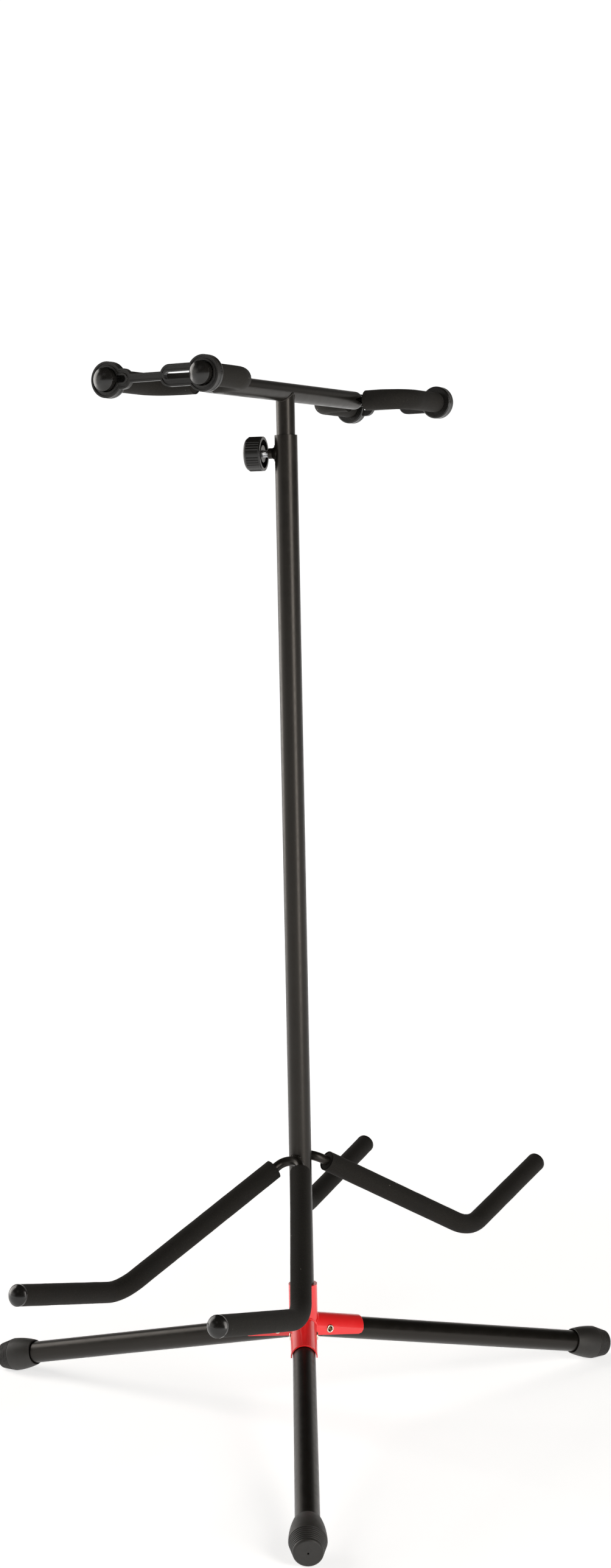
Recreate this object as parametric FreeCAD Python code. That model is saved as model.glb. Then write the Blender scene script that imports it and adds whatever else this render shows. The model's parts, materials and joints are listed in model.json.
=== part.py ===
import FreeCAD, Part
import math
import os

# Double guitar floor stand. Millimetres, +Z up. The origin is on the floor, on the post's axis.
# The crossbar runs along Y. Front is -Y, rear is +Y, left is -X and right is +X.

os.makedirs("parts", exist_ok=True)

Vec = FreeCAD.Vector
X_AXIS = Vec(1, 0, 0)
Y_AXIS = Vec(0, 1, 0)
Z_AXIS = Vec(0, 0, 1)
ORIGIN = Vec(0, 0, 0)

# ---------------------------------------------------------------- driving dimensions
# Tubes and rods
tube_od = 19.05            # legs and outer post
tube_wall = 1.45
slider_gap = 0.325         # radial gap between the outer post and the telescoping tube
slider_wall = 1.2
crossbar_od = 15.5
crossbar_wall = 1.4
rod_od = 8.0               # yokes and cradles

# Post
post_top = 836.7
crossbar_rise = 35.3       # from the post's top to the crossbar's centre line
slider_length = 312.0      # telescoping tube, from the crossbar's centre down
glide_gap = 0.08           # running clearance of the glide plug
glide_collar = 5.0
glide_spigot = 12.0

# Hub
sleeve_wall = 2.675
sleeve_height = 34.0
bracket_gap = 0.525        # between the leg tube and the inside of its bracket
bracket_wall = 1.2
bracket_reach = 52.8       # from the post's axis to the bracket's outer end
bracket_root_drop = 5.3    # how far the cheeks reach below the leg's axis, at the pivot
bracket_end_drop = 2.7     # the same at the outer end
bracket_corner = 4.0
leg_azimuths = {"front": -60.0, "rear": 60.0, "left": 180.0}

# Legs, rivets and feet
leg_slope = 12.8           # degrees below level
folded_gap = 0.45          # between the post and a leg folded up beside it
leg_past_pivot = 5.5
fold_gap = 0.1             # between the ball the leg's folding end is cut to and the arch over it
hub_fold_gap = 0.5         # between the folded leg and the sleeve's lower end
rivet_od = 5.0
rivet_wall = 0.55
rivet_head_rim = 0.95      # how far the head stands out past the shank
rivet_head_height = 0.95
rivet_gap = 0.05           # radial, in the leg's own hole
foot_reach = 305.0         # from the post's axis to the foot's widest ring
foot_od = 29.0
foot_mouth_wall = 1.875    # from the leg's surface to the mouth's outer edge
foot_neck = 22.5           # mouth to widest ring, along the leg
foot_sole = 14.5           # widest ring to end face
foot_end_round = 1.6
foot_tread_count = 7
foot_tread_pitch = 1.75
foot_tread_depth = 0.55
foot_mouth_gap = 0.9       # open ring round the leg at the mouth
foot_mouth_depth = 3.0
foot_cover = 7.0           # rubber beyond the leg's end
foot_vent_od = 1.6
foot_vent_depth = 4.0

# Height clamp
clamp_drop = 14.7          # below the post's top
clamp_azimuth = 194.0
clamp_boss_wall = 1.4
clamp_boss_length = 5.375  # out from the post's surface
clamp_weld_flare = 2.8     # how far the weld spreads past the boss, on the post
clamp_weld_length = 2.075  # out from the post's surface
stud_od = 6.0
stud_gap = 0.05            # radial clearance in the boss and in the knob
stud_tip_gap = 0.1         # between the stud's tip and the telescoping tube
knob_od = 27.6
knob_standoff = 9.675      # from the post's surface to the knob's open rim
knob_depth = 15.3
knob_lip = 0.45
knob_lip_length = 1.3
knob_rim_wall = 2.0
knob_web = 4.0
knob_hub_wall = 4.2
knob_hub_recess = 0.7
knob_round = 3.2
knob_stud_cover = 3.0      # plastic over the stud's outer end
knob_rib_groups = 6
knob_ribs_per_group = 4
knob_rib_turn = 12.0       # degrees, of the first group of ribs about the stud
knob_rib_step = 9.5        # degrees
knob_rib_radius = 0.75

# Neck yokes, one at each end of the crossbar
yoke_reach = 126.0         # from the post's axis to the yoke's base
yoke_width = 87.0          # between the prongs' centre lines
yoke_bend = 25.0
yoke_prong = 64.5          # from the yoke's base to the end of the foam
yoke_foam_wall = 4.7
yoke_foam_clear = 1.3      # between the crossbar's side and the foam
crossbar_lip = 1.1         # the crossbar's end stops this far short of the yoke's centre line
crossbar_neck = 2.0        # how far the tube closes in, in radius, where its end is pressed
crossbar_neck_length = 5.0
crossbar_vent_od = 4.0     # hole in its underside, inside the telescoping tube
pinch_depth = 17.4         # pressed-in groove at each end of the crossbar
pinch_bite = 0.3           # how far the groove's mouth grips the rod, each side
pinch_wall = 1.3

# Tip caps and neck straps
cap_flange_od = 28.2
cap_flange_thick = 3.2
cap_flange_round = 1.2
cap_stub_wall = 4.5
cap_stub_length = 9.2
cap_head_lip = 0.35        # how far the head stands out past the stub
cap_head_height = 3.2
cap_head_edge = 1.0
cap_socket_depth = 8.0
cap_seat_gap = 0.3         # between the foam's end and the flange
strap_gap = 0.3            # between the flange and the strap
strap_thick = 4.2
strap_ring_inset = 0.1     # how much smaller in radius the ring is than the flange
strap_hole_gap = 0.65      # round the cap's head
strap_rim = 1.5
strap_recess = 0.8
strap_bar_width = 6.6
strap_short_end = 22.5     # end of the short lobe, from the left ring's centre
strap_short_width = 15.8
strap_short_slot = 17.5
strap_long_end = 38.2      # end of the long loop, from the right ring's centre
strap_long_width = 17.0
strap_long_slot = 34.4
strap_slot_width = 5.4

# Body cradles
cradle_apex_height = 236.0   # where the two sloping rods' centre lines meet the post's axis
cradle_corner = (85.0, 151.0, 140.4)
cradle_tip = (90.4, 284.8, 172.4)
cradle_bend = 38.0
cradle_weld_sink = 0.25
cradle_foam_wall = 4.5
cradle_foam_start = 30.0     # from the apex along the sloping rod
cradle_cap_lip = 0.1         # how far the cap stands out past the foam
cradle_cap_edge = 1.8
cradle_cap_height = 6.2
cradle_cap_socket = 3.4

# ---------------------------------------------------------------- derived sizes
tube_r = tube_od / 2
rod_r = rod_od / 2
sleeve_r = tube_r + sleeve_wall
post_bore_r = tube_r - tube_wall
slider_r = post_bore_r - slider_gap
crossbar_height = post_top + crossbar_rise
slope = math.radians(leg_slope)
pivot_reach = tube_od + folded_gap
pivot_height = foot_od / 2 * math.cos(slope) + math.tan(slope) * (foot_reach - pivot_reach)
sleeve_bottom = pivot_height + leg_past_pivot + hub_fold_gap
bracket_inner_r = tube_r + bracket_gap
bracket_outer_r = bracket_inner_r + bracket_wall
foot_widest = (foot_reach - pivot_reach) / math.cos(slope)   # from the pivot, along the leg
foot_mouth = foot_widest - foot_neck
foot_end = foot_widest + foot_sole
leg_end = foot_end - foot_cover
clamp_height = post_top - clamp_drop
boss_reach = tube_r + clamp_boss_length
knob_near = tube_r + knob_standoff
knob_far = knob_near + knob_depth
clamp_direction = Vec(
    math.cos(math.radians(clamp_azimuth)),
    math.sin(math.radians(clamp_azimuth)),
    0,
)
yoke_tip = yoke_reach + yoke_prong
yoke_foam_r = rod_r + yoke_foam_wall
cap_seat = yoke_tip + cap_seat_gap
cap_stub_r = rod_r + cap_stub_wall
cap_head_r = cap_stub_r + cap_head_lip
strap_seat = cap_seat + cap_flange_thick + strap_gap
cradle_foam_r = rod_r + cradle_foam_wall


# ---------------------------------------------------------------- helpers
def rod(radius, start, end):
    """Round bar between two points."""
    run = end - start
    return Part.makeCylinder(radius, run.Length, start, run)


def tube(outer_r, inner_r, start, end):
    return rod(outer_r, start, end).cut(rod(inner_r, start, end))


def block(x0, x1, y0, y1, z0, z1):
    return Part.makeBox(x1 - x0, y1 - y0, z1 - z0, Vec(x0, y0, z0))


def prism(points, direction):
    """Extrude a flat polygon along a vector."""
    outline = Part.makePolygon(points + [points[0]])
    return Part.Face(outline).extrude(direction)


def turned(outline):
    """Solid of revolution about +Z. Each entry is (r, z), or (r, z, r_mid, z_mid) for an arc that ends at (r, z)."""
    edges = []
    last = Vec(outline[0][0], 0, outline[0][1])
    for entry in outline[1:] + outline[:1]:
        here = Vec(entry[0], 0, entry[1])
        if (here - last).Length < 1e-9:
            continue
        if len(entry) == 4:
            edges.append(Part.Arc(last, Vec(entry[2], 0, entry[3]), here).toShape())
        else:
            edges.append(Part.LineSegment(last, here).toShape())
        last = here
    return Part.Face(Part.Wire(edges)).revolve(ORIGIN, Z_AXIS, 360)


def dome(edge_r, edge_z, top_z):
    """Outline entry for a spherical dome that rises from its edge to the axis."""
    rise = top_z - edge_z
    ball_r = (edge_r ** 2 + rise ** 2) / (2 * rise)
    half = math.asin(edge_r / ball_r) / 2
    return (0, top_z, ball_r * math.sin(half), top_z - ball_r * (1 - math.cos(half)))


def aim(shape, origin, direction):
    """Move a shape built on +Z so that its axis starts at origin and runs along direction."""
    out = shape.copy()
    out.Placement = FreeCAD.Placement(origin, FreeCAD.Rotation(Z_AXIS, direction))
    return out


def spin(shape, degrees):
    """Turn a shape about the post's axis."""
    out = shape.copy()
    out.rotate(ORIGIN, Z_AXIS, degrees)
    return out


def bent_path(points, radii):
    """Straight runs through the points, joined by tangent arcs of the given radii."""
    edges = []
    last = points[0]
    for before, corner, after, radius in zip(points, points[1:], points[2:], radii):
        back = (before - corner).normalize()
        ahead = (after - corner).normalize()
        half = back.getAngle(ahead) / 2
        trim = radius / math.tan(half)
        middle = (back + ahead).normalize()
        start = corner + back * trim
        end = corner + ahead * trim
        top = corner + middle * (radius / math.sin(half) - radius)
        edges.append(Part.LineSegment(last, start).toShape())
        edges.append(Part.Arc(start, top, end).toShape())
        last = end
    edges.append(Part.LineSegment(last, points[-1]).toShape())
    return Part.Wire(edges)


def along(path, first, second, outer_r, inner_r=0.0):
    """Round section, hollow if inner_r is given, swept along a path that leaves first towards second."""
    section = Part.Face(Part.Wire(Part.makeCircle(outer_r, first, second - first)))
    if inner_r:
        section = section.cut(Part.Face(Part.Wire(Part.makeCircle(inner_r, first, second - first))))
    return path.makePipe(section.Faces[0])


def save(shape, node):
    clean = shape.removeSplitter()
    if not clean.isValid():
        raise ValueError(node + " is not a valid solid")
    clean.exportStep("parts/" + node + ".step")


# ---------------------------------------------------------------- hub
def make_sleeve():
    top = sleeve_bottom + sleeve_height
    return tube(sleeve_r, tube_r, Vec(0, 0, sleeve_bottom), Vec(0, 0, top))


def place_on_leg(shape, azimuth):
    """Move a shape from the leg's own frame, pivot at the origin and axis on +X, to its place."""
    out = shape.copy()
    out.rotate(ORIGIN, Y_AXIS, leg_slope)
    out.translate(Vec(pivot_reach, 0, pivot_height))
    return spin(out, azimuth)


def make_bracket(azimuth):
    """Arched channel, open below, that holds the leg's inner end."""
    root = -pivot_reach - tube_r
    end = (bracket_reach - pivot_reach) / math.cos(slope)
    deep = 2 * tube_od

    def arch(radius):
        crown = rod(radius, Vec(root, 0, 0), Vec(end, 0, 0))
        return crown.fuse(block(root, end, -radius, radius, -deep, 0))

    channel = arch(bracket_outer_r).cut(arch(bracket_inner_r))
    fall = (bracket_root_drop - bracket_end_drop) / end
    root_low = -bracket_root_drop + fall * root
    end_low = -bracket_end_drop
    corner = bracket_corner
    wide = 2 * bracket_outer_r
    side = prism(
        [
            Vec(root, -wide, root_low),
            Vec(end - corner, -wide, end_low - fall * corner),
            Vec(end - 0.3 * corner, -wide, end_low + 0.3 * corner),
            Vec(end, -wide, end_low + corner),
            Vec(end, -wide, deep),
            Vec(root, -wide, deep),
        ],
        Vec(0, 2 * wide, 0),
    )
    hole = rod(rivet_od / 2, Vec(0, -wide, 0), Vec(0, wide, 0))
    channel = place_on_leg(channel.common(side).cut(hole), 0)
    far = 3 * bracket_reach
    high = sleeve_bottom + sleeve_height + deep
    sector = prism(
        [Vec(0, 0, 0), Vec(far / 2, -far * math.sqrt(0.75), 0), Vec(far / 2, far * math.sqrt(0.75), 0)],
        Vec(0, 0, high),
    )
    above = rod(sleeve_r, Vec(0, 0, sleeve_bottom), Vec(0, 0, high))
    below = rod(tube_r + fold_gap, Vec(0, 0, 0), Vec(0, 0, high))
    return spin(channel.common(sector).cut(above).cut(below), azimuth)


def make_rivet(azimuth):
    """Hollow rivet through both cheeks of the bracket, with a domed head at each end."""
    bore_r = rivet_od / 2 - rivet_wall
    head_r = rivet_od / 2 + rivet_head_rim
    cheek = bracket_outer_r
    tip = cheek + rivet_head_height
    outline = [
        (bore_r, -tip),
        (bore_r, tip),
        (head_r, cheek + 0.25, head_r - 0.5, tip - 0.15),
        (head_r, cheek),
        (rivet_od / 2, cheek),
        (rivet_od / 2, -cheek),
        (head_r, -cheek),
        (head_r, -cheek - 0.25),
        (bore_r, -tip, head_r - 0.5, -tip + 0.15),
    ]
    return place_on_leg(aim(turned(outline), ORIGIN, Y_AXIS), azimuth)


# ---------------------------------------------------------------- legs and feet
def make_leg(azimuth):
    body = tube(tube_r, tube_r - tube_wall, Vec(-leg_past_pivot, 0, 0), Vec(leg_end, 0, 0))
    swing_r = bracket_inner_r - fold_gap
    behind = block(-tube_od, 0, -tube_od, tube_od, -tube_od, tube_od)
    kept = Part.makeSphere(swing_r)
    hole = rod(rivet_od / 2 + rivet_gap, Vec(0, -tube_od, 0), Vec(0, tube_od, 0))
    return place_on_leg(body.cut(behind.cut(kept)).cut(hole), azimuth)


def make_foot(azimuth):
    """Rubber foot: a bulb that widens from its mouth, then a treaded sole that lies flat on the floor."""
    wide_r = foot_od / 2
    mouth_r = tube_r + foot_mouth_wall
    fall = math.tan(slope)
    outline = [(tube_r + foot_mouth_gap, foot_mouth)]
    outline.append((mouth_r, foot_mouth + 0.8, mouth_r - 0.25, foot_mouth + 0.2))
    bulge_z = foot_mouth + 0.45 * foot_neck
    bulge_r = mouth_r + 0.66 * (wide_r - mouth_r)
    outline.append((wide_r, foot_widest, bulge_r, bulge_z))
    for i in range(foot_tread_count):
        start = foot_widest + 0.6 + i * foot_tread_pitch
        for depth, offset in ((0, 0), (foot_tread_depth, 0.3), (foot_tread_depth, 0.75), (0, 1.05)):
            z = start + offset
            outline.append((wide_r - fall * (z - foot_widest) - depth, z))
    shoulder_z = foot_end - foot_end_round
    shoulder_r = wide_r - fall * (shoulder_z - foot_widest)
    face_r = shoulder_r - foot_end_round * 0.9
    bend = foot_end_round * 0.34
    outline.append((shoulder_r, shoulder_z))
    outline.append((face_r, foot_end, shoulder_r - bend, foot_end - bend))
    outline += [
        (foot_vent_od / 2, foot_end),
        (foot_vent_od / 2, foot_end - foot_vent_depth),
        (0, foot_end - foot_vent_depth),
        (0, leg_end),
        (tube_r, leg_end),
        (tube_r, foot_mouth + foot_mouth_depth),
        (tube_r + foot_mouth_gap, foot_mouth + foot_mouth_depth - 0.8),
    ]
    return place_on_leg(aim(turned(outline), ORIGIN, X_AXIS), azimuth)


# ---------------------------------------------------------------- post and clamp
def clamp_point(reach):
    return clamp_direction * reach + Vec(0, 0, clamp_height)


def make_post():
    post = tube(tube_r, post_bore_r, Vec(0, 0, sleeve_bottom), Vec(0, 0, post_top))
    return post.cut(rod(stud_od / 2 + stud_gap, clamp_point(0), clamp_point(tube_od)))


def make_boss():
    boss_r = stud_od / 2 + clamp_boss_wall
    sunk = 2.0
    boss = rod(boss_r, clamp_point(0), clamp_point(boss_reach))
    flare = Part.makeCone(
        boss_r + clamp_weld_flare,
        boss_r,
        clamp_weld_length + sunk,
        clamp_point(tube_r - sunk),
        clamp_direction,
    )
    post = rod(tube_r, Vec(0, 0, 0), Vec(0, 0, post_top))
    hole = rod(stud_od / 2 + stud_gap, clamp_point(0), clamp_point(2 * boss_reach))
    return boss.fuse(flare).cut(post).cut(hole)


def make_stud():
    stud_r = stud_od / 2
    tip = slider_r + stud_tip_gap
    end = knob_far - knob_stud_cover
    outline = [(0, tip), (stud_r - 0.8, tip), (stud_r, tip + 0.8), (stud_r, end), (0, end)]
    return aim(turned(outline), Vec(0, 0, clamp_height), clamp_direction)


def make_knob():
    """Open cup with a central hub, and groups of grip ribs with plain bands between them."""
    side_r = knob_od / 2
    lip_r = side_r + knob_lip
    rim_r = side_r - knob_rim_wall
    hub_r = stud_od / 2 + knob_hub_wall
    bore_r = stud_od / 2 + stud_gap
    floor = knob_far - knob_web
    near = knob_near
    bore_end = knob_far - knob_stud_cover + stud_tip_gap
    turn_z = knob_far - knob_round
    flat_r = side_r - knob_round
    bend = 0.29 * knob_round
    outline = [
        (rim_r, near),
        (lip_r - 0.3, near),
        (lip_r, near + 0.3),
        (lip_r, near + knob_lip_length),
        (side_r, near + knob_lip_length + 0.4),
        (side_r, turn_z),
        (flat_r, knob_far - 0.4, side_r - bend, knob_far - 0.4 - bend),
        dome(flat_r, knob_far - 0.4, knob_far),
        (0, bore_end),
        (bore_r, bore_end),
        (bore_r, near + knob_hub_recess),
        (hub_r, near + knob_hub_recess),
        (hub_r, floor),
        (rim_r, floor),
    ]
    body = turned(outline)
    ribs = []
    for group in range(knob_rib_groups):
        for i in range(knob_ribs_per_group):
            lead = (i - (knob_ribs_per_group - 1) / 2) * knob_rib_step
            angle = math.radians(group * 360 / knob_rib_groups + knob_rib_turn + lead)
            crest = side_r - 0.25 * knob_rib_radius
            foot = Vec(crest * math.cos(angle), crest * math.sin(angle), near + knob_lip_length)
            ribs.append(rod(knob_rib_radius, foot, foot + Vec(0, 0, turn_z - near - knob_lip_length)))
    return aim(body.multiFuse(ribs), Vec(0, 0, clamp_height), clamp_direction)


def make_slider():
    """Telescoping tube, notched at its top to fit under the crossbar."""
    top = Vec(0, 0, crossbar_height)
    bottom = Vec(0, 0, crossbar_height - slider_length)
    body = tube(slider_r, slider_r - slider_wall, bottom, top)
    return body.cut(rod(crossbar_od / 2, Vec(0, -yoke_reach, crossbar_height), Vec(0, yoke_reach, crossbar_height)))


def make_glide():
    """Plastic plug under the telescoping tube. It guides the tube's lower end and lets it turn."""
    collar_r = post_bore_r - glide_gap
    spigot_r = slider_r - slider_wall - glide_gap
    top = crossbar_height - slider_length - glide_gap
    outline = [
        (0, top - glide_collar),
        (collar_r - 0.8, top - glide_collar),
        (collar_r, top - glide_collar + 0.8),
        (collar_r, top),
        (spigot_r, top),
        (spigot_r, top + glide_spigot),
        (0, top + glide_spigot),
    ]
    return turned(outline)


# ---------------------------------------------------------------- crossbar and yokes
def make_crossbar():
    """Tube along Y. Both sides of each end are pressed in to a groove that holds the yoke's rod."""
    end = yoke_reach - crossbar_lip
    outer_r = crossbar_od / 2
    level = Vec(0, 0, crossbar_height)

    def bar(radius):
        """Full length of the tube, closed in at both ends."""
        straight = end - crossbar_neck_length
        neck_r = radius - crossbar_neck
        middle_r = radius - 0.27 * crossbar_neck
        middle = end - 0.47 * crossbar_neck_length
        outline = [
            (0, -end),
            (neck_r, -end),
            (radius, -straight, middle_r, -middle),
            (radius, straight),
            (neck_r, end, middle_r, middle),
            (0, end),
        ]
        return aim(turned(outline), level, Y_AXIS)

    solid = bar(outer_r)
    body = solid.cut(bar(outer_r - crossbar_wall))
    rise = rod_r - pinch_bite
    skew = math.atan2(rise, pinch_depth)
    for side in (-1, 1):

        def wedge(extra):
            """V groove across the tube, or the metal round it when extra is the wall."""
            tip = side * (end - pinch_depth - extra / math.sin(skew))
            mouth = side * (end + 1.0)
            half = (abs(mouth) - abs(tip)) * math.tan(skew)
            points = [
                Vec(-outer_r - 1, tip, crossbar_height),
                Vec(-outer_r - 1, mouth, crossbar_height + half),
                Vec(-outer_r - 1, mouth, crossbar_height - half),
            ]
            return prism(points, Vec(2 * outer_r + 2, 0, 0))

        lining = wedge(pinch_wall).common(solid)
        body = body.fuse(lining).cut(wedge(0))
        seat = Vec(-outer_r - 1, side * yoke_reach, crossbar_height)
        body = body.cut(rod(rod_r, seat, seat + X_AXIS * (2 * outer_r + 2)))
    return body.cut(rod(crossbar_vent_od / 2, level - Z_AXIS * crossbar_od, level))


def yoke_point(x, y, side):
    return Vec(x, side * y, crossbar_height)


def make_yoke_rod(side):
    half = yoke_width / 2
    end = cap_seat + cap_socket_depth
    points = [
        yoke_point(-half, end, side),
        yoke_point(-half, yoke_reach, side),
        yoke_point(half, yoke_reach, side),
        yoke_point(half, end, side),
    ]
    path = bent_path(points, [yoke_bend, yoke_bend])
    return along(path, points[0], points[1], rod_r)


def make_yoke_foam(side, hand):
    half = yoke_width / 2
    points = [
        yoke_point(hand * (crossbar_od / 2 + yoke_foam_clear), yoke_reach, side),
        yoke_point(hand * half, yoke_reach, side),
        yoke_point(hand * half, yoke_tip, side),
    ]
    path = bent_path(points, [yoke_bend])
    return along(path, points[0], points[1], yoke_foam_r, rod_r)


def make_tip_cap(side, hand):
    """Flange that the foam ends against, and a round-headed stub that the strap hangs on."""
    flange_r = cap_flange_od / 2
    bend = 0.29 * cap_flange_round
    face = cap_flange_thick
    head = face + cap_stub_length - cap_head_edge
    crown = head + cap_head_edge + cap_head_height
    outline = [
        (rod_r, 0),
        (flange_r - cap_flange_round, 0),
        (flange_r, cap_flange_round, flange_r - bend, bend),
        (flange_r, face),
        (cap_stub_r, face),
        (cap_stub_r, head),
        (cap_head_r, head),
        (cap_head_r, head + cap_head_edge),
        dome(cap_head_r, head + cap_head_edge, crown),
        (0, cap_socket_depth),
        (rod_r, cap_socket_depth),
    ]
    seat = yoke_point(hand * yoke_width / 2, cap_seat, side)
    return aim(turned(outline), seat, Y_AXIS * side)


def make_strap(side):
    """Flat moulded strap with a keyhole at each end, short on the left and long on the right."""
    half = yoke_width / 2

    def slab(x0, x1, width, y0, y1, rounded=0):
        """Flat bar from x0 to x1. The end at x1 is rounded if rounded is 1, and the end at x0 if it is -1."""
        r = width / 2
        start = x0 + r if rounded < 0 else x0
        stop = x1 - r if rounded > 0 else x1
        body = block(start, stop, y0, y1, -r, r)
        if rounded:
            centre = start if rounded < 0 else stop
            body = body.fuse(rod(r, Vec(centre, y0, 0), Vec(centre, y1, 0)))
        return body

    def outline(inset, y0, y1):
        ring_r = cap_flange_od / 2 - strap_ring_inset - inset
        left = rod(ring_r, Vec(-half, y0, 0), Vec(-half, y1, 0))
        right = rod(ring_r, Vec(half, y0, 0), Vec(half, y1, 0))
        short = slab(-half, -half + strap_short_end - inset, strap_short_width - 2 * inset, y0, y1, 1)
        long = slab(half - strap_long_end + inset, half, strap_long_width - 2 * inset, y0, y1, -1)
        bar = slab(-half, half, strap_bar_width - 2 * inset, y0, y1)
        return left.multiFuse([right, short, long, bar])

    def keyholes(outset, y0, y1):
        hole_r = cap_head_r + strap_hole_gap + outset
        width = strap_slot_width + 2 * outset
        left = rod(hole_r, Vec(-half, y0, 0), Vec(-half, y1, 0))
        right = rod(hole_r, Vec(half, y0, 0), Vec(half, y1, 0))
        short = slab(-half, -half + strap_short_slot + outset, width, y0, y1, 1)
        long = slab(half - strap_long_slot - outset, half, width, y0, y1, -1)
        return left.multiFuse([right, short, long])

    strap = outline(0, 0, strap_thick).cut(keyholes(0, -1, strap_thick + 1))
    sunk = strap_thick - strap_recess
    recess = outline(strap_rim, sunk, strap_thick + 1).cut(keyholes(strap_rim, sunk - 1, strap_thick + 2))
    strap = strap.cut(recess)
    if side < 0:
        strap = strap.mirror(ORIGIN, Y_AXIS)
    strap.translate(Vec(0, side * strap_seat, crossbar_height))
    return strap


# ---------------------------------------------------------------- body cradles
def cradle_point(point, side, hand):
    return Vec(hand * point[0], side * point[1], point[2])


def make_cradle_rod(side):
    """One rod: up from each tip's arm to a tight bend that is welded to the post."""
    apex = Vec(0, 0, cradle_apex_height)
    points = [
        cradle_point(cradle_tip, side, -1),
        cradle_point(cradle_corner, side, -1),
        apex,
        cradle_point(cradle_corner, side, 1),
        cradle_point(cradle_tip, side, 1),
    ]
    left = (points[1] - apex).normalize()
    right = (points[3] - apex).normalize()
    half = left.getAngle(right) / 2
    middle = (left + right).normalize()
    setback = (tube_r + rod_r - cradle_weld_sink) / abs(middle.y)
    apex_bend = setback / (1 / math.sin(half) - 1)
    path = bent_path(points, [cradle_bend, apex_bend, cradle_bend])
    return along(path, points[0], points[1], rod_r)


def make_cradle_foam(side, hand):
    apex = Vec(0, 0, cradle_apex_height)
    corner = cradle_point(cradle_corner, side, hand)
    tip = cradle_point(cradle_tip, side, hand)
    start = apex + (corner - apex).normalize() * cradle_foam_start
    end = tip - (tip - corner).normalize() * cradle_cap_socket
    path = bent_path([start, corner, end], [cradle_bend])
    return along(path, start, corner, cradle_foam_r, rod_r)


def make_cradle_cap(side, hand):
    """Domed cap over the rod's end, seated against the foam."""
    corner = cradle_point(cradle_corner, side, hand)
    tip = cradle_point(cradle_tip, side, hand)
    direction = (tip - corner).normalize()
    cap_r = cradle_foam_r + cradle_cap_lip
    outline = [
        (rod_r, 0),
        (cap_r, 0),
        (cap_r, cradle_cap_edge),
        dome(cap_r, cradle_cap_edge, cradle_cap_height),
        (0, cradle_cap_socket),
        (rod_r, cradle_cap_socket),
    ]
    return aim(turned(outline), tip - direction * cradle_cap_socket, direction)


# ---------------------------------------------------------------- build every node
save(make_sleeve(), "hub_sleeve")
for leg, azimuth in leg_azimuths.items():
    save(make_bracket(azimuth), "leg_bracket_" + leg)
    save(make_rivet(azimuth), "leg_rivet_" + leg)
    save(make_leg(azimuth), "leg_tube_" + leg)
    save(make_foot(azimuth), "rubber_foot_" + leg)

save(make_post(), "outer_post")
save(make_boss(), "clamp_boss")
save(make_stud(), "clamp_stud")
save(make_knob(), "clamp_knob")
save(make_slider(), "telescoping_tube")
save(make_glide(), "glide_plug")
save(make_crossbar(), "crossbar")

for end, side in (("front", -1), ("rear", 1)):
    save(make_yoke_rod(side), "yoke_rod_" + end)
    save(make_strap(side), "neck_strap_" + end)
    save(make_cradle_rod(side), "cradle_rod_" + end)
    for hand_name, hand in (("left", -1), ("right", 1)):
        place = end + "_" + hand_name
        save(make_yoke_foam(side, hand), "yoke_foam_" + place)
        save(make_tip_cap(side, hand), "yoke_tip_cap_" + place)
        save(make_cradle_foam(side, hand), "cradle_foam_" + place)
        save(make_cradle_cap(side, hand), "cradle_end_cap_" + place)
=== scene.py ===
import json
import math

import bpy
from mathutils import Matrix, Vector, noise

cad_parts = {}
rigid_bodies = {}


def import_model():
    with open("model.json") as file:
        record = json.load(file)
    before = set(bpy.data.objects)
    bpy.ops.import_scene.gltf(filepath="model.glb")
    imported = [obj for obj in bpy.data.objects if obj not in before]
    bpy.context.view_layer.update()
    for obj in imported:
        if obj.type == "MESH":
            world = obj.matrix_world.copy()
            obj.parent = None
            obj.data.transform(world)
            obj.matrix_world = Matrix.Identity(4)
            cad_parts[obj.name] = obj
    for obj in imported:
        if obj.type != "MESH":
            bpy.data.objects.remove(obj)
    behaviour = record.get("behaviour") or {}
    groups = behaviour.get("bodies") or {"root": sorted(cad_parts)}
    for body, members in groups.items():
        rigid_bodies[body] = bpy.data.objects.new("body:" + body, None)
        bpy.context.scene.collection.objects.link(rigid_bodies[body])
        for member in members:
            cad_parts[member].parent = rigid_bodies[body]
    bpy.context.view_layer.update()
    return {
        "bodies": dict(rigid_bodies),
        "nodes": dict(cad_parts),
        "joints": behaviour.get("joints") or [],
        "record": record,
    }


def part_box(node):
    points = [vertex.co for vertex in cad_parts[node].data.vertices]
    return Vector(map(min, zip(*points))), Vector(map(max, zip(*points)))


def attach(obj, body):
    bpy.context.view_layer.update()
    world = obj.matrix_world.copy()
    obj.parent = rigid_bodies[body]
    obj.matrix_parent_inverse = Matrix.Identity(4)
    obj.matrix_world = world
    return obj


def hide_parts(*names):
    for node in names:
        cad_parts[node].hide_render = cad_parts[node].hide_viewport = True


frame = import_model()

# Double guitar floor stand. Metres, +Z up. Front is -Y, left is -X.
MM = 0.001
X_AXIS = Vector((1, 0, 0))
Z_AXIS = Vector((0, 0, 1))

# ---------------------------------------------------------------- camera
CAMERA_AZIMUTH = math.radians(30.0)
CAMERA_DISTANCE = 2.03692
CAMERA_HEIGHT = 0.70843
CAMERA_HEADING = math.radians(29.701)
CAMERA_PITCH = math.radians(4.557)
CAMERA_ROLL = math.radians(1.118)
CAMERA_LENS = 55.905


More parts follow.
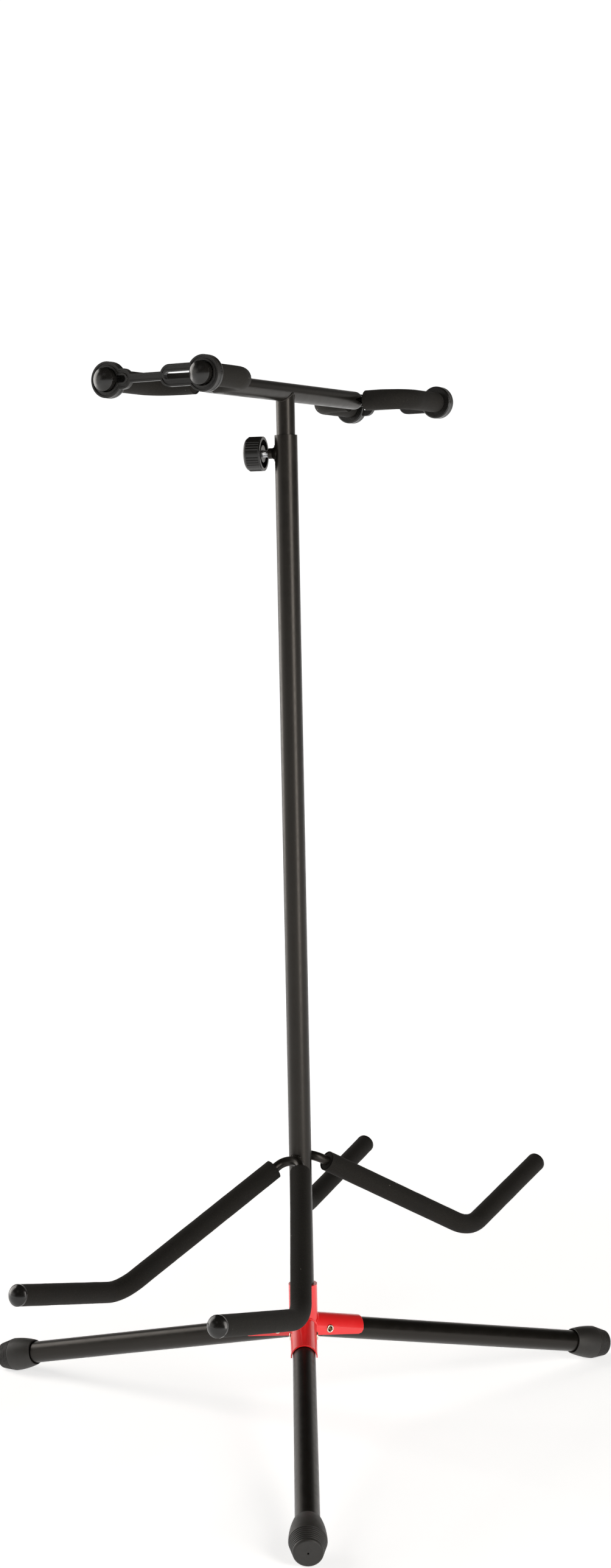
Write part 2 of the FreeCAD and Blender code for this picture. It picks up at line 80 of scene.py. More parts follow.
def make_camera():
    data = bpy.data.cameras.new("camera")
    data.lens = CAMERA_LENS
    data.sensor_width = 36.0
    data.sensor_fit = "AUTO"
    data.clip_start = 0.02
    data.clip_end = 200.0
    data.dof.use_dof = False
    forward = Vector((
        -math.sin(CAMERA_HEADING) * math.cos(CAMERA_PITCH),
        math.cos(CAMERA_HEADING) * math.cos(CAMERA_PITCH),
        -math.sin(CAMERA_PITCH),
    ))
    right = Vector((math.cos(CAMERA_HEADING), math.sin(CAMERA_HEADING), 0))
    up = right.cross(forward)
    tilted_up = up * math.cos(CAMERA_ROLL) + right * math.sin(CAMERA_ROLL)
    tilted_right = right * math.cos(CAMERA_ROLL) - up * math.sin(CAMERA_ROLL)
    turn = Matrix((tilted_right, tilted_up, -forward)).transposed().to_4x4()
    place = Vector((
        CAMERA_DISTANCE * math.sin(CAMERA_AZIMUTH),
        -CAMERA_DISTANCE * math.cos(CAMERA_AZIMUTH),
        CAMERA_HEIGHT,
    ))
    obj = bpy.data.objects.new("camera", data)
    obj.matrix_world = Matrix.Translation(place) @ turn
    bpy.context.scene.collection.objects.link(obj)
    bpy.context.scene.camera = obj


make_camera()


# ---------------------------------------------------------------- node helpers
class Nodes:
    """Short calls for building one node tree."""

    def __init__(self, tree):
        self.tree = tree
        tree.nodes.clear()

    def add(self, kind, values=(), **fields):
        node = self.tree.nodes.new(kind)
        for key, value in fields.items():
            setattr(node, key, value)
        for key, value in dict(values).items():
            if isinstance(value, bpy.types.NodeSocket):
                self.tree.links.new(value, node.inputs[key])
            else:
                node.inputs[key].default_value = value
        return node

    def place(self):
        return self.add("ShaderNodeTexCoord").outputs["Object"]

    def grain(self, scale, detail=2.0, rough=0.5, where=None, kind="Fac"):
        node = self.add("ShaderNodeTexNoise", {
            "Vector": where or self.place(), "Scale": scale, "Detail": detail, "Roughness": rough,
        })
        return node.outputs[kind]

    def cells(self, scale, where=None):
        node = self.add("ShaderNodeTexVoronoi", {"Vector": where or self.place(), "Scale": scale})
        return node.outputs["Distance"]

    def remap(self, value, low, high, to_low=0.0, to_high=1.0, smooth=False):
        node = self.add("ShaderNodeMapRange", {
            "Value": value, "From Min": low, "From Max": high, "To Min": to_low, "To Max": to_high,
        }, interpolation_type="SMOOTHSTEP" if smooth else "LINEAR")
        return node.outputs["Result"]

    def math(self, operation, first, second):
        node = self.add("ShaderNodeMath", {0: first, 1: second}, operation=operation)
        return node.outputs[0]

    def mix(self, share, first, second):
        node = self.add("ShaderNodeMix", {"Factor": share}, data_type="RGBA")
        for index, value in ((6, first), (7, second)):
            if isinstance(value, bpy.types.NodeSocket):
                self.tree.links.new(value, node.inputs[index])
            else:
                node.inputs[index].default_value = value
        return node.outputs[2]

    def bump(self, height, strength, distance, normal=None):
        values = {"Height": height, "Strength": strength, "Distance": distance}
        if normal is not None:
            values["Normal"] = normal
        return self.add("ShaderNodeBump", values).outputs["Normal"]

    def edges(self, radius):
        return self.add("ShaderNodeBevel", {"Radius": radius}, samples=4).outputs["Normal"]


def grey(level, warm=0.0):
    """Near-black or grey colour; warm tips it slightly to brown."""
    return (level * (1 + warm), level, level * (1 - 1.4 * warm), 1.0)


def material(name, build):
    mat = bpy.data.materials.new(name)
    mat.use_nodes = True
    nodes = Nodes(mat.node_tree)
    shader = nodes.add("ShaderNodeBsdfPrincipled")
    out = nodes.add("ShaderNodeOutputMaterial")
    nodes.tree.links.new(shader.outputs[0], out.inputs["Surface"])

    def put(key, value):
        if isinstance(value, bpy.types.NodeSocket):
            nodes.tree.links.new(value, shader.inputs[key])
        else:
            shader.inputs[key].default_value = value

    build(nodes, put)
    return mat


# ---------------------------------------------------------------- materials
def powder_coat(dark, light, rough, peel, dust):
    """Satin black powder coat: orange peel, slow tone changes, a few dust specks."""

    def build(n, put):
        slow = n.grain(22.0, 3.0)
        tone = n.mix(n.remap(slow, 0.3, 0.7), grey(dark, 0.14), grey(light, 0.16))
        speck = n.remap(n.cells(420.0), 0.035, 0.075, 1.0, 0.0)
        rare = n.remap(n.grain(90.0, 1.0), 0.60, 0.66)
        share = n.math("MULTIPLY", n.math("MULTIPLY", speck, rare), dust)
        put("Base Color", n.mix(share, tone, grey(0.16, 0.06)))
        put("Roughness", n.remap(n.grain(160.0, 3.0), 0.3, 0.7, rough - 0.045, rough + 0.045))
        put("Specular IOR Level", 0.40)
        put("Specular Tint", (1.0, 0.93, 0.86, 1.0))
        fine = n.bump(n.grain(1900.0, 2.0), peel * 0.55, 0.00004, n.edges(0.00035))
        put("Normal", n.bump(n.grain(520.0, 2.0), peel, 0.00009, fine))

    return build


def red_enamel(n, put):
    slow = n.grain(45.0, 2.0)
    put("Base Color", n.mix(n.remap(slow, 0.3, 0.7), (0.93, 0.014, 0.016, 1), (0.99, 0.018, 0.020, 1)))
    put("Roughness", n.remap(n.grain(140.0, 2.0), 0.3, 0.7, 0.34, 0.44))
    put("Coat Weight", 0.7)
    put("Coat Roughness", 0.055)
    put("Coat IOR", 1.52)
    normal = n.bump(n.grain(230.0, 2.0), 0.16, 0.00022, n.edges(0.0005))
    put("Normal", normal)
    put("Coat Normal", normal)


def bright_metal(low, high, rough):
    def build(n, put):
        put("Metallic", 1.0)
        put("Base Color", n.mix(n.remap(n.grain(260.0, 3.0), 0.3, 0.7), low, high))
        put("Roughness", n.remap(n.grain(700.0, 3.0), 0.3, 0.7, rough - 0.07, rough + 0.07))
        put("Normal", n.bump(n.grain(1500.0, 2.0), 0.15, 0.00004, n.edges(0.0002)))

    return build


def moulded(dark, light, rough, texture, depth, edge, spec=0.5):
    """Moulded plastic or rubber: fine sparked texture and slight mottling."""

    def build(n, put):
        slow = n.grain(60.0, 4.0)
        fine = n.grain(1400.0, 2.0)
        tone = n.mix(n.remap(slow, 0.3, 0.7), grey(dark, 0.06), grey(light, 0.08))
        put("Base Color", n.mix(n.remap(fine, 0.62, 0.8, 0.0, 0.5), tone, grey(light * 1.9, 0.07)))
        put("Roughness", n.remap(n.grain(210.0, 3.0), 0.3, 0.7, rough - 0.05, rough + 0.05))
        put("Specular IOR Level", spec)
        put("Normal", n.bump(n.grain(texture, 3.0), depth, 0.00007, n.edges(edge)))

    return build


def foam(n, put):
    """Closed-cell foam: skin full of small pits whose bottoms are painted darker as shade, tiny lighter
    cell walls, a few flecks of lint.
    """
    where = n.place()
    pores = n.cells(760.0, where=where)
    small = n.cells(1500.0, where=where)
    slow = n.grain(35.0, 3.0, where=where)
    tone = n.mix(n.remap(slow, 0.3, 0.7), grey(0.0105, 0.09), grey(0.0140, 0.11))
    # painted shade: the colour goes darker towards each pit's bottom, where the pore bump sinks in
    painted_pit_shade_tone = n.mix(n.remap(pores, 0.10, 0.36), grey(0.0075, 0.09), tone)
    wall_share = n.remap(n.grain(900.0, 2.0, where=where), 0.60, 0.76, 0.0, 0.45)
    walls = n.mix(wall_share, painted_pit_shade_tone, grey(0.030, 0.10))
    bent = n.add("ShaderNodeVectorMath", {
        0: where, 1: n.add("ShaderNodeVectorMath", {
            0: n.grain(55.0, 1.0, where=where, kind="Color"), 1: (0.012, 0.012, 0.012),
        }, operation="MULTIPLY").outputs[0],
    }, operation="ADD").outputs[0]
    lint = n.remap(n.cells(62.0, where=bent), 0.018, 0.034, 1.0, 0.0)
    put("Base Color", n.mix(n.math("MULTIPLY", lint, 0.75), walls, grey(0.30, 0.08)))
    put("Roughness", n.remap(slow, 0.3, 0.7, 0.86, 0.95))
    put("Specular IOR Level", 0.20)
    put("Sheen Weight", 0.03)
    put("Sheen Roughness", 0.5)
    put("Sheen Tint", (0.75, 0.72, 0.68, 1.0))
    coarse = n.bump(pores, 0.20, 0.00022)
    put("Normal", n.bump(small, 0.16, 0.00012, coarse))


NICKEL_LOW = (0.74, 0.66, 0.53, 1)
NICKEL_HIGH = (0.86, 0.79, 0.67, 1)
ZINC_LOW = (0.66, 0.67, 0.68, 1)
ZINC_HIGH = (0.80, 0.81, 0.82, 1)

# powder_coat: dark, light, roughness, orange peel, dust.
# moulded: dark, light, roughness, texture scale, texture depth, edge radius, specular level.
MATERIALS = {
    "tube_black": material("tube_black", powder_coat(0.0042, 0.0062, 0.33, 0.30, 0.5)),
    "rod_black": material("rod_black", powder_coat(0.0046, 0.0068, 0.36, 0.32, 0.4)),
    "hub_red": material("hub_red", red_enamel),
    "rivet_nickel": material("rivet_nickel", bright_metal(NICKEL_LOW, NICKEL_HIGH, 0.24)),
    "stud_zinc": material("stud_zinc", bright_metal(ZINC_LOW, ZINC_HIGH, 0.26)),
    "knob_black": material("knob_black", moulded(0.0066, 0.0098, 0.33, 1700.0, 0.28, 0.0004)),
    "cap_black": material("cap_black", moulded(0.0070, 0.0100, 0.22, 900.0, 0.16, 0.0006)),
    "strap_black": material("strap_black", moulded(0.0090, 0.0130, 0.40, 1300.0, 0.28, 0.0005)),
    "foot_rubber": material("foot_rubber", moulded(0.0200, 0.0270, 0.52, 1000.0, 0.36, 0.0004, 0.45)),
    "foam_black": material("foam_black", foam),
    "glide_nylon": material("glide_nylon", moulded(0.020, 0.028, 0.5, 1200.0, 0.2, 0.0004)),
}


def slot_of(node):
    """The record's material slot of a CAD node, by its name."""
    starts = (
        ("hub_sleeve", "hub_red"), ("leg_bracket", "hub_red"), ("leg_rivet", "rivet_nickel"),
        ("rubber_foot", "foot_rubber"), ("clamp_stud", "stud_zinc"), ("clamp_knob", "knob_black"),
        ("glide_plug", "glide_nylon"), ("yoke_rod", "rod_black"), ("cradle_rod", "rod_black"),
        ("neck_strap", "strap_black"), ("yoke_tip_cap", "cap_black"), ("cradle_end_cap", "cap_black"),
        ("yoke_foam", "foam_black"), ("cradle_foam", "foam_black"),
    )
    for start, slot in starts:
        if node.startswith(start):
            return slot
    return "tube_black"


for name, obj in frame["nodes"].items():
    obj.data.materials.clear()
    obj.data.materials.append(MATERIALS[slot_of(name)])


# ---------------------------------------------------------------- sizes, from the CAD model
TUBE_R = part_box("outer_post")[1].x
CROSSBAR_LO, CROSSBAR_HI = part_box("crossbar")
CROSSBAR_R = CROSSBAR_HI.x
CROSSBAR_Z = (CROSSBAR_LO.z + CROSSBAR_HI.z) / 2
SLIDER_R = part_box("telescoping_tube")[1].x
rod_lo, rod_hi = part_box("yoke_rod_rear")
ROD_R = (rod_hi.z - rod_lo.z) / 2
FOAM_BORE_R = ROD_R + 0.02 * MM
YOKE_Y = rod_lo.y + ROD_R
YOKE_X = rod_hi.x - ROD_R
FOAM_LO, FOAM_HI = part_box("yoke_foam_rear_right")
YOKE_FOAM_R = (FOAM_HI.z - FOAM_LO.z) / 2
YOKE_FOAM_START = FOAM_LO.x
YOKE_FOAM_END = FOAM_HI.y
YOKE_BEND = 25.0 * MM
SLEEVE_LO, SLEEVE_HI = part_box("hub_sleeve")
SLEEVE_R = SLEEVE_HI.x
# The cradles, the stud and the legs repeat sizes of the CAD model that its boxes do not show.
CRADLE_APEX = Vector((0, 0, 0.236))
CRADLE_CORNER = Vector((0.085, 0.151, 0.1404))
CRADLE_TIP = Vector((0.0904, 0.2848, 0.1724))
CRADLE_BEND = 38.0 * MM
CRADLE_FOAM_R = 8.5 * MM
CRADLE_FOAM_START = 30.0 * MM
CRADLE_FOAM_SHORT = 3.4 * MM
SIDES = (("front", -1), ("rear", 1))
HANDS = (("left", -1), ("right", 1))


# ---------------------------------------------------------------- mesh helpers
FOAM_LIP = 0.9 * MM          # round of the foam's cut ends
FOAM_WAVE = 0.10 * MM
FOAM_GRAIN = 0.03 * MM
FOAM_CREASE = 0.12 * MM      # depth of the creases inside a bend
FOAM_BULGE = 0.04 * MM
FOAM_CREASES = 5
BEAD_PITCH = 1.5 * MM


def make_object(name, verts, faces, slot, body, smooth_angle=40.0):
    mesh = bpy.data.meshes.new(name)
    mesh.from_pydata([tuple(v) for v in verts], [], faces)
    mesh.validate()
    mesh.materials.append(MATERIALS[slot])
    obj = bpy.data.objects.new(name, mesh)
    bpy.context.scene.collection.objects.link(obj)
    mesh.shade_smooth()
    mesh.set_sharp_from_angle(angle=math.radians(smooth_angle))
    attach(obj, body)
    return obj


def bent_line(points, bends, step):
    """Evenly spaced points along straight runs joined by arcs; also how far into a bend each is."""
    line, share, inward = [], [], []

    def run(start, end):
        count = max(1, round((end - start).length / step))
        for i in range(count):
            line.append(start.lerp(end, i / count))
            share.append(0.0)
            inward.append(Vector((0, 0, 0)))

    last = points[0]
    for before, corner, after, radius in zip(points, points[1:], points[2:], bends):
        back = (before - corner).normalized()
        ahead = (after - corner).normalized()
        half = back.angle(ahead) / 2
        trim = radius / math.tan(half)
        middle = (back + ahead).normalized()
        centre = corner + middle * (radius / math.sin(half))
        start = corner + back * trim
        end = corner + ahead * trim
        run(last, start)
        sweep = math.pi - 2 * half
        count = max(6, round(radius * sweep / (step * 0.6)))
        axis = (start - centre).cross(end - centre).normalized()
        for i in range(count):
            angle = sweep * i / count
            line.append(centre + Matrix.Rotation(angle, 3, axis) @ (start - centre))
            share.append(i / count)
            inward.append((centre - line[-1]).normalized())
        last = end
    run(last, points[-1])
    line.append(points[-1])
    share.append(0.0)
    inward.append(Vector((0, 0, 0)))
    return line, share, inward


def frames_along(line):
    """Two directions across the line at each point, carried along it without twisting."""
    tangents = []
    for i in range(len(line)):
        a = line[max(0, i - 1)]
        b = line[min(len(line) - 1, i + 1)]
        tangents.append((b - a).normalized())
    side = tangents[0].cross(Z_AXIS)
    if side.length < 0.1:
        side = tangents[0].cross(X_AXIS)
    side.normalize()
    out = []
    for t in tangents:
        side = (side - t * side.dot(t)).normalized()
        out.append((t, side, t.cross(side)))
    return out


def sleeve_mesh(name, line, share, inward, outer_r, bore_r, seed, body):
    """Foam sleeve on a rod: soft cut ends, faint creases inside its bend, uneven skin."""
    around = 72
    lip = FOAM_LIP
    lip_steps = 4
    frames = frames_along(line)
    verts, faces = [], []

    def ring(centre, frame, radius, rough, i=None):
        start = len(verts)
        _, a, b = frame
        for k in range(around):
            angle = 2 * math.pi * k / around
            way = a * math.cos(angle) + b * math.sin(angle)
            r = radius
            if rough:
                p = centre + way * radius
                r += rough * FOAM_WAVE * noise.noise(p * 90 + Vector((seed, 0, 0)))
                r += rough * FOAM_GRAIN * noise.noise(p * 420 + Vector((0, seed, 0)))
                if i is not None and inward[i].length > 0:
                    facing = max(0.0, way.dot(inward[i])) ** 3
                    fade = math.sin(math.pi * share[i]) ** 0.5
                    crease = 0.5 - 0.5 * math.cos(2 * math.pi * FOAM_CREASES * share[i])
                    r -= FOAM_CREASE * facing * fade * crease
                    r += FOAM_BULGE * facing * fade
            verts.append(centre + way * r)
        return start

    def bridge(first, second):
        for k in range(around):
            n = (k + 1) % around
            faces.append((first + k, first + n, second + n, second + k))

    rings = []
    last = len(line) - 1
    rings.append(ring(line[0], frames[0], bore_r, 0))
    rings.append(ring(line[0], frames[0], (bore_r + outer_r) / 2, 0))
    for j in range(lip_steps + 1):
        angle = math.pi / 2 * j / lip_steps
        depth = lip * (1 - math.sin(angle))
        centre = line[0] + frames[0][0] * depth
        rings.append(ring(centre, frames[0], outer_r - lip + lip * math.cos(math.pi / 2 - angle), 0.5))
    for i in range(1, last):
        if (line[i] - line[0]).length > 1.3 * lip and (line[i] - line[last]).length > 1.3 * lip:
            rings.append(ring(line[i], frames[i], outer_r, 1, i))
    for j in range(lip_steps + 1):
        angle = math.pi / 2 * (1 - j / lip_steps)
        centre = line[last] - frames[last][0] * lip * (1 - math.cos(math.pi / 2 - angle))
        rings.append(ring(centre, frames[last], outer_r - lip + lip * math.sin(angle), 0.5))
    rings.append(ring(line[last], frames[last], (bore_r + outer_r) / 2, 0))
    rings.append(ring(line[last], frames[last], bore_r, 0))
    for i in range(last, -1, -2):
        if 0 < i < last:
            rings.append(ring(line[i], frames[i], bore_r, 0))
    rings.append(rings[0])
    for first, second in zip(rings, rings[1:]):
        bridge(first, second)
    faces[:] = [tuple(reversed(f)) for f in faces]
    return make_object(name, verts, faces, "foam_black", body, 60.0)


def bead_mesh(name, line, radius, slot, body, closed=False, seed=1, ripple=0.16, axis=Z_AXIS):
    """Weld bead along a line, with overlapping ripples and tapered ends."""
    around = 14
    frames = frames_along(line)
    if closed:
        count = len(line)
        frames = []
        for i in range(count):
            t = (line[(i + 1) % count] - line[i - 1]).normalized()
            side = t.cross(axis).normalized()
            frames.append((t, side, t.cross(side)))
    verts, faces = [], []
    travelled = 0.0
    total = sum((b - a).length for a, b in zip(line, line[1:]))
    for i, centre in enumerate(line):
        if i:
            travelled += (line[i] - line[i - 1]).length
        taper = 1.0
        if not closed:
            near = min(travelled, total - travelled) / (1.6 * radius)
            taper = math.sqrt(max(0.0, 1 - (1 - min(1.0, near)) ** 2))
            taper = max(taper, 0.06)
        phase = (travelled / BEAD_PITCH) % 1.0
        swell = 1 - ripple * phase + 0.10 * noise.noise(centre * 700 + Vector((seed, 0, 0)))
        _, a, b = frames[i]
        for k in range(around):
            angle = 2 * math.pi * k / around
            verts.append(centre + (a * math.cos(angle) + b * math.sin(angle)) * radius * taper * swell)
    rows = len(line)
    for i in range(rows if closed else rows - 1):
        for k in range(around):
            n = (k + 1) % around
            j = (i + 1) % rows
            faces.append((i * around + k, j * around + k, j * around + n, i * around + n))
    if not closed:
        faces.append(tuple(range(around)))
        faces.append(tuple((rows - 1) * around + k for k in reversed(range(around))))
    return make_object(name, verts, faces, slot, body, 70.0)


# ---------------------------------------------------------------- foam sleeves
STEP = 1.3 * MM


def make_foams():
    seed = 3
    for end, side in SIDES:
        for hand_name, hand in HANDS:
            seed += 11
            points = [
                Vector((hand * YOKE_FOAM_START, side * YOKE_Y, CROSSBAR_Z)),
                Vector((hand * YOKE_X, side * YOKE_Y, CROSSBAR_Z)),
                Vector((hand * YOKE_X, side * YOKE_FOAM_END, CROSSBAR_Z)),
            ]
            line, share, inward = bent_line(points, [YOKE_BEND], STEP)
            piece = sleeve_mesh(
                f"neck_foam_{end}_{hand_name}", line, share, inward, YOKE_FOAM_R, FOAM_BORE_R,
                seed, "head",
            )
            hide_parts(f"yoke_foam_{end}_{hand_name}")

            flip = Vector((hand, side, 1))
            corner = CRADLE_CORNER * flip
            tip = CRADLE_TIP * flip
            start = CRADLE_APEX + (corner - CRADLE_APEX).normalized() * CRADLE_FOAM_START
            finish = tip - (tip - corner).normalized() * CRADLE_FOAM_SHORT
            line, share, inward = bent_line([start, corner, finish], [CRADLE_BEND], STEP)
            piece = sleeve_mesh(
                f"body_foam_{end}_{hand_name}", line, share, inward, CRADLE_FOAM_R, FOAM_BORE_R,
                seed + 5, "stand",
            )
            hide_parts(f"cradle_foam_{end}_{hand_name}")


make_foams()


# ---------------------------------------------------------------- threaded stud
CLAMP_AZIMUTH = math.radians(194.0)
STUD_TIP = 7.85 * MM
STUD_END = 31.5 * MM
STUD_R = 3.0 * MM
THREAD_PITCH = 1.0 * MM
THREAD_DEPTH = 0.42 * MM
STUD_CHAMFER = 0.8 * MM


def make_stud():
    """Screw thread on the clamp's stud, from a helical height field."""
    lo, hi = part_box("clamp_stud")
    height = (lo.z + hi.z) / 2
    out = Vector((math.cos(CLAMP_AZIMUTH), math.sin(CLAMP_AZIMUTH), 0))
    across = out.cross(Z_AXIS).normalized()
    around = 56
    step = THREAD_PITCH / 8
    rows = round((STUD_END - STUD_TIP) / step)
    verts, faces = [], []
    for i in range(rows + 1):
        reach = STUD_TIP + (STUD_END - STUD_TIP) * i / rows
        cone = min(1.0, (reach - STUD_TIP) / STUD_CHAMFER)
        limit = STUD_R - STUD_CHAMFER * (1 - cone)
        for k in range(around):
            angle = 2 * math.pi * k / around
            turn = (reach / THREAD_PITCH - k / around) % 1.0
            ridge = 1 - abs(2 * turn - 1)
            ridge = min(1.0, max(0.0, 1.35 * ridge - 0.12))
            r = min(limit, STUD_R - 0.02 * MM - THREAD_DEPTH * (1 - ridge))
            way = Z_AXIS * math.cos(angle) + across * math.sin(angle)
            verts.append(out * reach + Vector((0, 0, height)) + way * r)
    for i in range(rows):
        for k in range(around):
            n = (k + 1) % around
            faces.append((i * around + k, i * around + n, (i + 1) * around + n, (i + 1) * around + k))
    faces.append(tuple(reversed(range(around))))
    faces.append(tuple(rows * around + k for k in range(around)))
    piece = make_object("stud_thread", verts, faces, "stud_zinc", "clamp_screw", 50.0)
    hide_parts("clamp_stud")


make_stud()


# ---------------------------------------------------------------- rivets and weld beads
CROSSBAR_BEAD_R = 0.75 * MM
YOKE_BEAD_R = 1.15 * MM
CRADLE_BEAD_R = 1.25 * MM
HUB_BEAD_R = 0.85 * MM
BOSS_BEAD_R = 0.45 * MM
BOSS_RING_R = 6.5 * MM       # of the bead round the clamp's boss
RIVET_BORE_R = 1.95 * MM
RIVET_HEAD_R = 3.45 * MM
RIVET_HEAD_HEIGHT = 0.95 * MM


def make_rivets():
    """Hollow rivet through each bracket, with a rolled head at each end."""
    around = 64
    for leg, azimuth in LEG_AZIMUTHS:
        spin = Matrix.Rotation(math.radians(azimuth), 3, "Z")
        tilt = Matrix.Rotation(LEG_SLOPE, 3, "Y")
        centre = spin @ Vector((PIVOT_REACH, 0, PIVOT_HEIGHT))
        middle_r = (RIVET_BORE_R + RIVET_HEAD_R) / 2
        half_r = (RIVET_HEAD_R - RIVET_BORE_R) / 2
        head = []
        for i in range(13):
            angle = math.pi * i / 12
            rise = RIVET_HEAD_HEIGHT * math.sin(angle)
            head.append((middle_r - half_r * math.cos(angle), BRACKET_R + rise))
        profile = head + [(RIVET_BORE_R + 0.5 * MM, BRACKET_R), (RIVET_BORE_R + 0.5 * MM, -BRACKET_R)]
        profile += [(r, -y) for r, y in reversed(head)]
        verts, faces = [], []
        for r, y in profile:
            for k in range(around):
                angle = 2 * math.pi * k / around
                local = Vector((r * math.cos(angle), y, r * math.sin(angle)))
                verts.append(centre + spin @ (tilt @ local))
        rows = len(profile)
        for i in range(rows):
            j = (i + 1) % rows
            for k in range(around):
                n = (k + 1) % around
                faces.append((i * around + k, j * around + k, j * around + n, i * around + n))
        piece = make_object(f"rivet_{leg}", verts, faces, "rivet_nickel", "stand", 50.0)
        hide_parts(f"leg_rivet_{leg}")


def make_head_welds():
    """Beads where the telescoping tube meets the crossbar, and where the crossbar's ends hold the rods."""
    count = 120
    line = []
    for i in range(count):
        angle = 2 * math.pi * i / count
        r = SLIDER_R + 0.05 * MM
        across = r * math.cos(angle)
        drop = math.sqrt(max(0.0, CROSSBAR_R ** 2 - min(abs(across), CROSSBAR_R) ** 2))
        low = CROSSBAR_Z - max(drop, 1.4 * MM) - 0.15 * MM
        line.append(Vector((across, r * math.sin(angle), low)))
    bead_mesh("weld_crossbar", line, CROSSBAR_BEAD_R, "tube_black", "head", closed=True, seed=4)
    for end, side in SIDES:
        for name, rise in (("top", 1), ("bottom", -1)):
            line = []
            for i in range(41):
                x = CROSSBAR_R * 0.80 * (2 * i / 40 - 1)
                line.append(Vector((
                    x, side * (YOKE_Y - 1.5 * MM), CROSSBAR_Z + rise * (ROD_R + 0.35 * MM),
                )))
            bead_mesh(
                f"weld_yoke_{end}_{name}", line, YOKE_BEAD_R, "rod_black", "head",
                seed=side + rise + 9,
            )


def make_cradle_welds():
    """Beads above and below each cradle rod, on the post."""
    for end, side in SIDES:
        apex_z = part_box(f"cradle_rod_{end}")[1].z - ROD_R
        for name, rise in (("top", 1), ("bottom", -1)):
            line = []
            for i in range(49):
                angle = math.radians(34.0) * (2 * i / 48 - 1)
                r = TUBE_R + 0.35 * MM
                dip = 1.3 * MM * (1 - math.cos(angle * 2.2))
                line.append(Vector((
                    r * math.sin(angle), side * r * math.cos(angle), apex_z + rise * 3.4 * MM - dip,
                )))
            bead_mesh(
                f"weld_cradle_{end}_{name}", line, CRADLE_BEAD_R, "tube_black", "stand",
                seed=2 * side + rise,
            )


LEG_SLOPE = math.radians(12.8)
LEG_AZIMUTHS = (("front", -60.0), ("rear", 60.0), ("left", 180.0))
PIVOT_REACH = 19.5 * MM
PIVOT_HEIGHT = SLEEVE_LO.z - 6.0 * MM
BRACKET_R = 11.25 * MM


def make_hub_welds():
    """A red bead over each bracket's root, where it meets the sleeve."""
    for leg, azimuth in LEG_AZIMUTHS:
        line = []
        spin = Matrix.Rotation(math.radians(azimuth), 3, "Z")

        def on_sleeve(y, up):
            """Point of the bracket's surface, up from the leg's axis, that lies on the sleeve."""
            reach = math.sqrt(max(0.0, (SLEEVE_R + 0.1 * MM) ** 2 - y * y))
            along = (reach - PIVOT_REACH - up * math.sin(LEG_SLOPE)) / math.cos(LEG_SLOPE)
            z = PIVOT_HEIGHT - along * math.sin(LEG_SLOPE) + up * math.cos(LEG_SLOPE)
            return spin @ Vector((reach, y, z))

        low = 1.5 * MM
        edge = BRACKET_R + 0.05 * MM
        for i in range(10):
            line.append(on_sleeve(-edge, low * i / 10))
        for i in range(61):
            angle = math.pi * (i / 60 - 0.5)
            line.append(on_sleeve(edge * math.sin(angle), edge * math.cos(angle)))
        for i in range(10):
            line.append(on_sleeve(edge, low * (1 - (i + 1) / 10)))
        bead_mesh(f"weld_hub_{leg}", line, HUB_BEAD_R, "hub_red", "stand", seed=len(leg), ripple=0.10)


def make_boss_weld():
    """Bead round the clamp's boss, on the post."""
    boss_lo, boss_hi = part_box("clamp_boss")
    height = (boss_lo.z + boss_hi.z) / 2
    ring_r = BOSS_RING_R
    skin = TUBE_R + 0.10 * MM
    line = []
    for i in range(72):
        angle = 2 * math.pi * i / 72
        aside = ring_r * math.cos(angle)
        reach = math.sqrt(skin ** 2 - aside ** 2)
        turn = CLAMP_AZIMUTH + math.asin(aside / skin)
        squeeze = 0.6 + 0.4 * reach / skin
        line.append(Vector((
            skin * math.cos(turn), skin * math.sin(turn), height + ring_r * math.sin(angle) * squeeze,
        )))
    bead_mesh(
        "weld_boss", line, BOSS_BEAD_R, "tube_black", "stand", closed=True, seed=7, ripple=0.2,
        axis=Vector((math.cos(CLAMP_AZIMUTH), math.sin(CLAMP_AZIMUTH), 0)),
    )


make_rivets()
make_head_welds()
make_cradle_welds()
make_hub_welds()
make_boss_weld()


# ---------------------------------------------------------------- studio
def make_floor():
    size = 40.0
    rings = 24
    around = 64
    verts, faces = [(0, 0, 0)], []
    for i in range(rings):
        r = size * ((i + 1) / rings) ** 2
        for k in range(around):
            angle = 2 * math.pi * k / around
            verts.append((r * math.cos(angle), r * math.sin(angle), 0))
    for k in range(around):
        faces.append((0, 1 + k, 1 + (k + 1) % around))
    for i in range(rings - 1):
        for k in range(around):
            n = (k + 1) % around
            a = 1 + i * around
            b = a + around
            faces.append((a + k, b + k, b + n, a + n))
    mesh = bpy.data.meshes.new("studio_floor")
    mesh.from_pydata(verts, [], faces)
    obj = bpy.data.objects.new("studio_floor", mesh)
    bpy.context.scene.collection.objects.link(obj)
    obj.location.z = -0.02 * MM

    def build(n, put):
        where = n.place()
        far = n.add("ShaderNodeVectorMath", {0: where}, operation="LENGTH").outputs["Value"]
        put("Base Color", n.mix(n.remap(n.grain(3.0, 2.0, where=where), 0.3, 0.7), grey(0.83), grey(0.86)))
        put("Roughness", 0.9)
        put("Specular IOR Level", 0.1)
        put("Emission Color", (1.0, 1.0, 1.0, 1.0))
        put("Emission Strength", n.remap(far, 0.3, 2.6, 0.66, 1.05, True))

    mesh.materials.append(material("studio_floor", build))


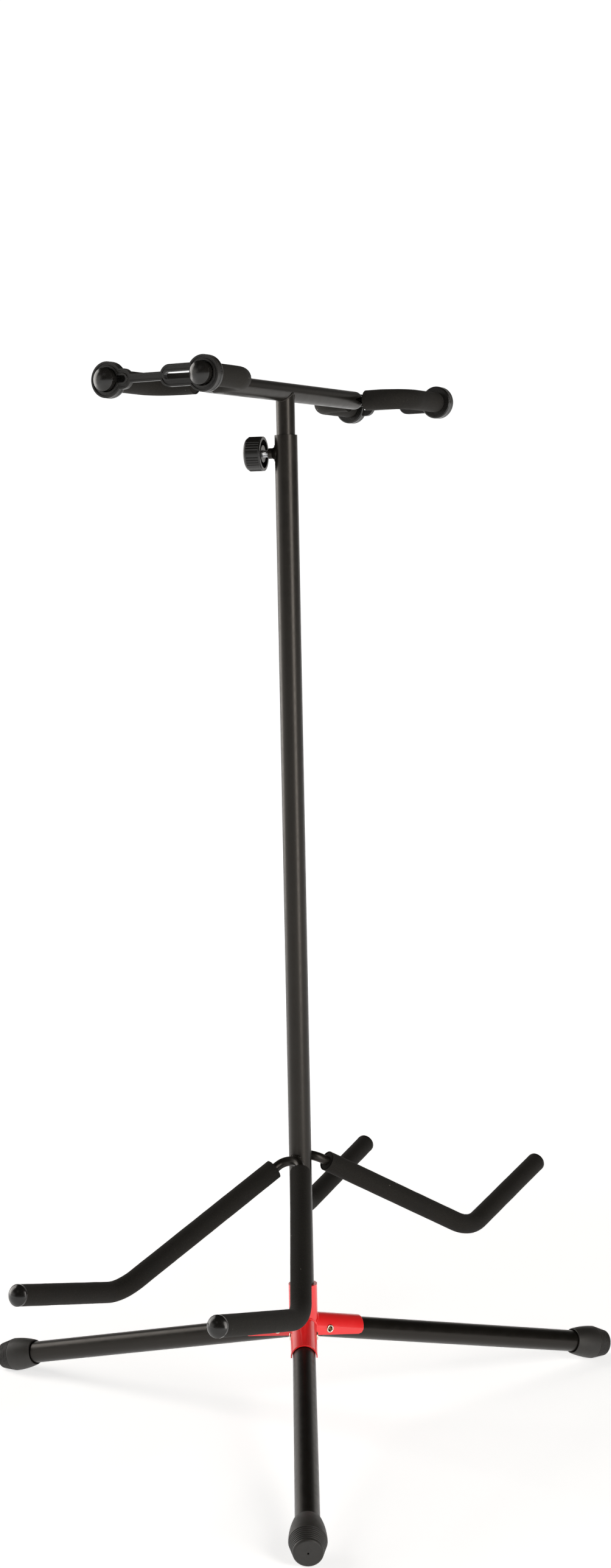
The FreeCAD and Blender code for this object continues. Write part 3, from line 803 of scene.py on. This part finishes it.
def make_world():
    """White horizon behind, dim towards the camera's side of the studio and overhead."""
    world = bpy.data.worlds.new("studio")
    bpy.context.scene.world = world
    world.use_nodes = True
    n = Nodes(world.node_tree)
    way = n.add("ShaderNodeTexCoord").outputs["Generated"]
    height = n.add("ShaderNodeSeparateXYZ", {0: way}).outputs["Z"]
    behind = n.add(
        "ShaderNodeVectorMath", {0: way, 1: (-0.90, 0.43, 0.0)}, operation="DOT_PRODUCT",
    ).outputs["Value"]
    low = n.remap(height, 0.22, 0.50, 1.0, 0.0, True)
    back = n.remap(behind, -0.12, 0.30, 0.0, 1.0, True)
    share = n.math("MULTIPLY", low, back)
    level = n.remap(share, 0.0, 1.0, 0.025, 1.0)
    tone = n.add("ShaderNodeBackground", {"Color": (1.0, 0.97, 0.93, 1), "Strength": level})
    white = n.add("ShaderNodeBackground", {"Color": (1, 1, 1, 1), "Strength": 1.05})
    path = n.add("ShaderNodeLightPath")
    both = n.add("ShaderNodeMixShader", {
        0: path.outputs["Is Camera Ray"], 1: tone.outputs[0], 2: white.outputs[0],
    })
    n.add("ShaderNodeOutputWorld", {"Surface": both.outputs[0]})


def softbox(name, place, target, width, height, radiance, tint=(1.0, 0.965, 0.92)):
    """Rectangular light whose face has the given brightness."""
    data = bpy.data.lights.new(name, "AREA")
    data.shape = "RECTANGLE"
    data.size = width
    data.size_y = height
    data.energy = radiance * math.pi * width * height
    data.color = tint
    obj = bpy.data.objects.new(name, data)
    way = (Vector(target) - Vector(place)).normalized()
    obj.location = place
    obj.rotation_mode = "QUATERNION"
    obj.rotation_quaternion = way.to_track_quat("-Z", "Y")
    bpy.context.scene.collection.objects.link(obj)
    obj.visible_camera = False


make_floor()
make_world()
softbox("strip_right", (2.05, -0.83, 0.95), (0, 0, 0.55), 0.85, 2.0, 6.0)
softbox("box_left", (-2.30, -0.20, 1.20), (0, 0, 0.50), 1.4, 2.4, 3.4)
softbox("fill_front", (-0.60, -2.60, 2.40), (0, 0, 0.45), 1.0, 0.8, 0.3)
bpy.context.scene.view_settings.view_transform = "Standard"
bpy.context.scene.view_settings.look = "None"
bpy.context.scene.view_settings.exposure = 0.0
